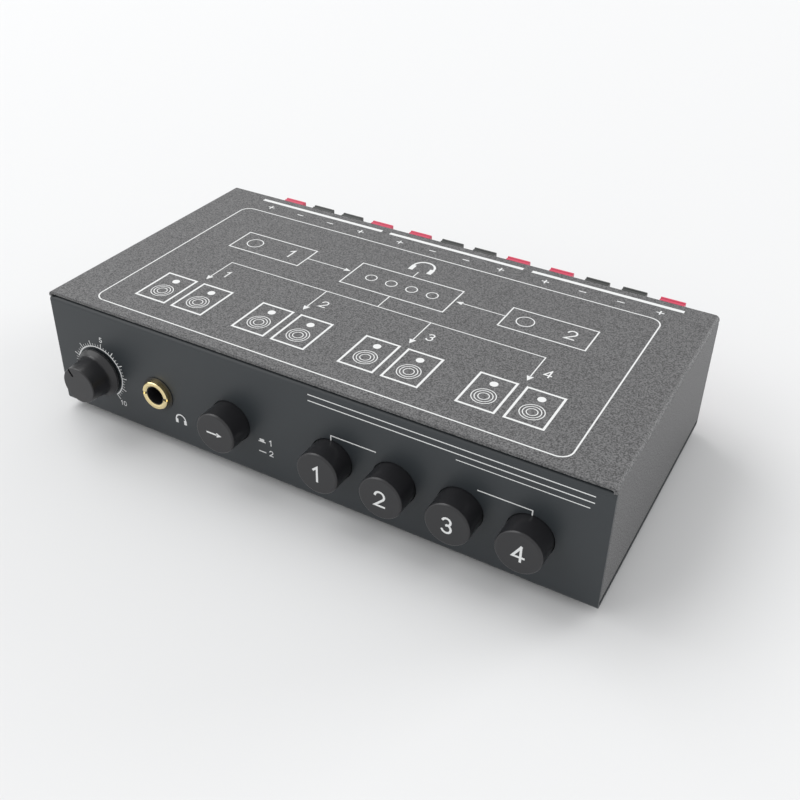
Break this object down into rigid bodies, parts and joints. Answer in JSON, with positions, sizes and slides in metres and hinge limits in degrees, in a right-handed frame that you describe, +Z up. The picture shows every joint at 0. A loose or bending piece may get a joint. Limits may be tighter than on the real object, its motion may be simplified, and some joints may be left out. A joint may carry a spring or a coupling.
{
  "type": "speaker selector switch",
  "caption": "Desktop speaker selector switch with a volume knob, headphone socket, latching push buttons and spring wire terminals.",
  "frame": {"origin": "centre of the bounding box in plan, on the surface that the feet stand on", "axes": "+X along the case to the right as seen from the front, +Y from the front panel to the terminals, +Z up"},
  "size_m": [0.2, 0.1212, 0.0473],
  "materials": {
    "smooth_black_paint": "smooth satin powder coat",
    "textured_black_paint": "fine textured powder coat",
    "zinc_steel": "zinc plated",
    "rubber": "matte",
    "circuit_board": "green solder mask",
    "brass": "plain",
    "black_plastic": "moulded",
    "ceramic_white": "cement filled ceramic",
    "gold_plate": "gold plated",
    "tin_bronze": "tinned spring bronze",
    "switch_plastic": "moulded",
    "switch_white_plastic": "moulded",
    "knob_plastic": "fine satin",
    "lever_red_plastic": "moulded",
    "lever_black_plastic": "moulded"
  },
  "bodies": {
    "case": {"base_chassis": "smooth_black_paint", "top_cover": "textured_black_paint", "cover_screws": "zinc_steel", "rubber_feet": "rubber", "main_board": "circuit_board", "board_standoffs": "brass", "board_screws": "zinc_steel", "terminal_board": "circuit_board", "board_header": "black_plastic", "power_resistors": "ceramic_white", "volume_pot_body": "zinc_steel", "volume_pot_washer": "zinc_steel", "volume_pot_nut": "zinc_steel", "headphone_jack_body": "black_plastic", "headphone_jack_contacts": "tin_bronze", "headphone_jack_washer": "black_plastic", "headphone_jack_ring_nut": "gold_plate", "switch_bodies": "switch_plastic", "terminal_contacts": "tin_bronze", "amp_terminal_housing": "black_plastic", "output_1_2_terminal_housing": "black_plastic", "output_3_4_terminal_housing": "black_plastic"},
    "volume_control": {"volume_pot_shaft": "zinc_steel", "volume_knob": "knob_plastic"},
    "amp_button": {"amp_button_cap": "knob_plastic", "amp_switch_plunger": "switch_white_plastic"},
    "output_1_button": {"output_1_button_cap": "knob_plastic", "output_1_switch_plunger": "switch_white_plastic"},
    "output_2_button": {"output_2_button_cap": "knob_plastic", "output_2_switch_plunger": "switch_white_plastic"},
    "output_3_button": {"output_3_button_cap": "knob_plastic", "output_3_switch_plunger": "switch_white_plastic"},
    "output_4_button": {"output_4_button_cap": "knob_plastic", "output_4_switch_plunger": "switch_white_plastic"},
    "amp_upper_lever_red_1": {"amp_upper_lever_red_1": "lever_red_plastic"},
    "amp_upper_lever_black_1": {"amp_upper_lever_black_1": "lever_black_plastic"},
    "amp_upper_lever_black_2": {"amp_upper_lever_black_2": "lever_black_plastic"},
    "amp_upper_lever_red_2": {"amp_upper_lever_red_2": "lever_red_plastic"},
    "amp_lower_lever_red_1": {"amp_lower_lever_red_1": "lever_red_plastic"},
    "amp_lower_lever_black_1": {"amp_lower_lever_black_1": "lever_black_plastic"},
    "amp_lower_lever_black_2": {"amp_lower_lever_black_2": "lever_black_plastic"},
    "amp_lower_lever_red_2": {"amp_lower_lever_red_2": "lever_red_plastic"},
    "output_1_2_upper_lever_red_1": {"output_1_2_upper_lever_red_1": "lever_red_plastic"},
    "output_1_2_upper_lever_black_1": {"output_1_2_upper_lever_black_1": "lever_black_plastic"},
    "output_1_2_upper_lever_black_2": {"output_1_2_upper_lever_black_2": "lever_black_plastic"},
    "output_1_2_upper_lever_red_2": {"output_1_2_upper_lever_red_2": "lever_red_plastic"},
    "output_1_2_lower_lever_red_1": {"output_1_2_lower_lever_red_1": "lever_red_plastic"},
    "output_1_2_lower_lever_black_1": {"output_1_2_lower_lever_black_1": "lever_black_plastic"},
    "output_1_2_lower_lever_black_2": {"output_1_2_lower_lever_black_2": "lever_black_plastic"},
    "output_1_2_lower_lever_red_2": {"output_1_2_lower_lever_red_2": "lever_red_plastic"},
    "output_3_4_upper_lever_red_1": {"output_3_4_upper_lever_red_1": "lever_red_plastic"},
    "output_3_4_upper_lever_black_1": {"output_3_4_upper_lever_black_1": "lever_black_plastic"},
    "output_3_4_upper_lever_black_2": {"output_3_4_upper_lever_black_2": "lever_black_plastic"},
    "output_3_4_upper_lever_red_2": {"output_3_4_upper_lever_red_2": "lever_red_plastic"},
    "output_3_4_lower_lever_red_1": {"output_3_4_lower_lever_red_1": "lever_red_plastic"},
    "output_3_4_lower_lever_black_1": {"output_3_4_lower_lever_black_1": "lever_black_plastic"},
    "output_3_4_lower_lever_black_2": {"output_3_4_lower_lever_black_2": "lever_black_plastic"},
    "output_3_4_lower_lever_red_2": {"output_3_4_lower_lever_red_2": "lever_red_plastic"}
  },
  "joints": [
    {"name": "volume_turn", "type": "hinge", "parent": "case", "child": "volume_control", "pos_m": [-0.0816, -0.0501, 0.021], "axis": [0, 1, 0], "range_deg": [-117, 183]},
    {"name": "amp_button_press", "type": "slide", "parent": "case", "child": "amp_button", "axis": [0, 1, 0], "range_m": [0, 0.003], "stiffness_N_per_m": 400, "springref_m": -0.004},
    {"name": "output_1_button_press", "type": "slide", "parent": "case", "child": "output_1_button", "axis": [0, 1, 0], "range_m": [0, 0.003], "stiffness_N_per_m": 400, "springref_m": -0.004},
    {"name": "output_2_button_press", "type": "slide", "parent": "case", "child": "output_2_button", "axis": [0, 1, 0], "range_m": [0, 0.003], "stiffness_N_per_m": 400, "springref_m": -0.004},
    {"name": "output_3_button_press", "type": "slide", "parent": "case", "child": "output_3_button", "axis": [0, 1, 0], "range_m": [0, 0.003], "stiffness_N_per_m": 400, "springref_m": -0.004},
    {"name": "output_4_button_press", "type": "slide", "parent": "case", "child": "output_4_button", "axis": [0, 1, 0], "range_m": [0, 0.003], "stiffness_N_per_m": 400, "springref_m": -0.004},
    {"name": "amp_upper_lever_red_1_press", "type": "hinge", "parent": "case", "child": "amp_upper_lever_red_1", "pos_m": [-0.07535, 0.0434, 0.0403], "axis": [-1, 0, 0], "range_deg": [0, 16], "stiffness_Nm_per_rad": 0.15, "springref_deg": -11.46, "deforming": ["terminal_contacts"]},
    {"name": "amp_upper_lever_black_1_press", "type": "hinge", "parent": "case", "child": "amp_upper_lever_black_1", "pos_m": [-0.06165, 0.0434, 0.0403], "axis": [-1, 0, 0], "range_deg": [0, 16], "stiffness_Nm_per_rad": 0.15, "springref_deg": -11.46, "deforming": ["terminal_contacts"]},
    {"name": "amp_upper_lever_black_2_press", "type": "hinge", "parent": "case", "child": "amp_upper_lever_black_2", "pos_m": [-0.04795, 0.0434, 0.0403], "axis": [-1, 0, 0], "range_deg": [0, 16], "stiffness_Nm_per_rad": 0.15, "springref_deg": -11.46, "deforming": ["terminal_contacts"]},
    {"name": "amp_upper_lever_red_2_press", "type": "hinge", "parent": "case", "child": "amp_upper_lever_red_2", "pos_m": [-0.03425, 0.0434, 0.0403], "axis": [-1, 0, 0], "range_deg": [0, 16], "stiffness_Nm_per_rad": 0.15, "springref_deg": -11.46, "deforming": ["terminal_contacts"]},
    {"name": "amp_lower_lever_red_1_press", "type": "hinge", "parent": "case", "child": "amp_lower_lever_red_1", "pos_m": [-0.07535, 0.0434, 0.0227], "axis": [-1, 0, 0], "range_deg": [0, 16], "stiffness_Nm_per_rad": 0.15, "springref_deg": -11.46, "deforming": ["terminal_contacts"]},
    {"name": "amp_lower_lever_black_1_press", "type": "hinge", "parent": "case", "child": "amp_lower_lever_black_1", "pos_m": [-0.06165, 0.0434, 0.0227], "axis": [-1, 0, 0], "range_deg": [0, 16], "stiffness_Nm_per_rad": 0.15, "springref_deg": -11.46, "deforming": ["terminal_contacts"]},
    {"name": "amp_lower_lever_black_2_press", "type": "hinge", "parent": "case", "child": "amp_lower_lever_black_2", "pos_m": [-0.04795, 0.0434, 0.0227], "axis": [-1, 0, 0], "range_deg": [0, 16], "stiffness_Nm_per_rad": 0.15, "springref_deg": -11.46, "deforming": ["terminal_contacts"]},
    {"name": "amp_lower_lever_red_2_press", "type": "hinge", "parent": "case", "child": "amp_lower_lever_red_2", "pos_m": [-0.03425, 0.0434, 0.0227], "axis": [-1, 0, 0], "range_deg": [0, 16], "stiffness_Nm_per_rad": 0.15, "springref_deg": -11.46, "deforming": ["terminal_contacts"]},
    {"name": "output_1_2_upper_lever_red_1_press", "type": "hinge", "parent": "case", "child": "output_1_2_upper_lever_red_1", "pos_m": [-0.01715, 0.0434, 0.0403], "axis": [-1, 0, 0], "range_deg": [0, 16], "stiffness_Nm_per_rad": 0.15, "springref_deg": -11.46, "deforming": ["terminal_contacts"]},
    {"name": "output_1_2_upper_lever_black_1_press", "type": "hinge", "parent": "case", "child": "output_1_2_upper_lever_black_1", "pos_m": [-0.00345, 0.0434, 0.0403], "axis": [-1, 0, 0], "range_deg": [0, 16], "stiffness_Nm_per_rad": 0.15, "springref_deg": -11.46, "deforming": ["terminal_contacts"]},
    {"name": "output_1_2_upper_lever_black_2_press", "type": "hinge", "parent": "case", "child": "output_1_2_upper_lever_black_2", "pos_m": [0.01025, 0.0434, 0.0403], "axis": [-1, 0, 0], "range_deg": [0, 16], "stiffness_Nm_per_rad": 0.15, "springref_deg": -11.46, "deforming": ["terminal_contacts"]},
    {"name": "output_1_2_upper_lever_red_2_press", "type": "hinge", "parent": "case", "child": "output_1_2_upper_lever_red_2", "pos_m": [0.02395, 0.0434, 0.0403], "axis": [-1, 0, 0], "range_deg": [0, 16], "stiffness_Nm_per_rad": 0.15, "springref_deg": -11.46, "deforming": ["terminal_contacts"]},
    {"name": "output_1_2_lower_lever_red_1_press", "type": "hinge", "parent": "case", "child": "output_1_2_lower_lever_red_1", "pos_m": [-0.01715, 0.0434, 0.0227], "axis": [-1, 0, 0], "range_deg": [0, 16], "stiffness_Nm_per_rad": 0.15, "springref_deg": -11.46, "deforming": ["terminal_contacts"]},
    {"name": "output_1_2_lower_lever_black_1_press", "type": "hinge", "parent": "case", "child": "output_1_2_lower_lever_black_1", "pos_m": [-0.00345, 0.0434, 0.0227], "axis": [-1, 0, 0], "range_deg": [0, 16], "stiffness_Nm_per_rad": 0.15, "springref_deg": -11.46, "deforming": ["terminal_contacts"]},
    {"name": "output_1_2_lower_lever_black_2_press", "type": "hinge", "parent": "case", "child": "output_1_2_lower_lever_black_2", "pos_m": [0.01025, 0.0434, 0.0227], "axis": [-1, 0, 0], "range_deg": [0, 16], "stiffness_Nm_per_rad": 0.15, "springref_deg": -11.46, "deforming": ["terminal_contacts"]},
    {"name": "output_1_2_lower_lever_red_2_press", "type": "hinge", "parent": "case", "child": "output_1_2_lower_lever_red_2", "pos_m": [0.02395, 0.0434, 0.0227], "axis": [-1, 0, 0], "range_deg": [0, 16], "stiffness_Nm_per_rad": 0.15, "springref_deg": -11.46, "deforming": ["terminal_contacts"]},
    {"name": "output_3_4_upper_lever_red_1_press", "type": "hinge", "parent": "case", "child": "output_3_4_upper_lever_red_1", "pos_m": [0.04105, 0.0434, 0.0403], "axis": [-1, 0, 0], "range_deg": [0, 16], "stiffness_Nm_per_rad": 0.15, "springref_deg": -11.46, "deforming": ["terminal_contacts"]},
    {"name": "output_3_4_upper_lever_black_1_press", "type": "hinge", "parent": "case", "child": "output_3_4_upper_lever_black_1", "pos_m": [0.05475, 0.0434, 0.0403], "axis": [-1, 0, 0], "range_deg": [0, 16], "stiffness_Nm_per_rad": 0.15, "springref_deg": -11.46, "deforming": ["terminal_contacts"]},
    {"name": "output_3_4_upper_lever_black_2_press", "type": "hinge", "parent": "case", "child": "output_3_4_upper_lever_black_2", "pos_m": [0.06845, 0.0434, 0.0403], "axis": [-1, 0, 0], "range_deg": [0, 16], "stiffness_Nm_per_rad": 0.15, "springref_deg": -11.46, "deforming": ["terminal_contacts"]},
    {"name": "output_3_4_upper_lever_red_2_press", "type": "hinge", "parent": "case", "child": "output_3_4_upper_lever_red_2", "pos_m": [0.08215, 0.0434, 0.0403], "axis": [-1, 0, 0], "range_deg": [0, 16], "stiffness_Nm_per_rad": 0.15, "springref_deg": -11.46, "deforming": ["terminal_contacts"]},
    {"name": "output_3_4_lower_lever_red_1_press", "type": "hinge", "parent": "case", "child": "output_3_4_lower_lever_red_1", "pos_m": [0.04105, 0.0434, 0.0227], "axis": [-1, 0, 0], "range_deg": [0, 16], "stiffness_Nm_per_rad": 0.15, "springref_deg": -11.46, "deforming": ["terminal_contacts"]},
    {"name": "output_3_4_lower_lever_black_1_press", "type": "hinge", "parent": "case", "child": "output_3_4_lower_lever_black_1", "pos_m": [0.05475, 0.0434, 0.0227], "axis": [-1, 0, 0], "range_deg": [0, 16], "stiffness_Nm_per_rad": 0.15, "springref_deg": -11.46, "deforming": ["terminal_contacts"]},
    {"name": "output_3_4_lower_lever_black_2_press", "type": "hinge", "parent": "case", "child": "output_3_4_lower_lever_black_2", "pos_m": [0.06845, 0.0434, 0.0227], "axis": [-1, 0, 0], "range_deg": [0, 16], "stiffness_Nm_per_rad": 0.15, "springref_deg": -11.46, "deforming": ["terminal_contacts"]},
    {"name": "output_3_4_lower_lever_red_2_press", "type": "hinge", "parent": "case", "child": "output_3_4_lower_lever_red_2", "pos_m": [0.08215, 0.0434, 0.0227], "axis": [-1, 0, 0], "range_deg": [0, 16], "stiffness_Nm_per_rad": 0.15, "springref_deg": -11.46, "deforming": ["terminal_contacts"]}
  ]
}
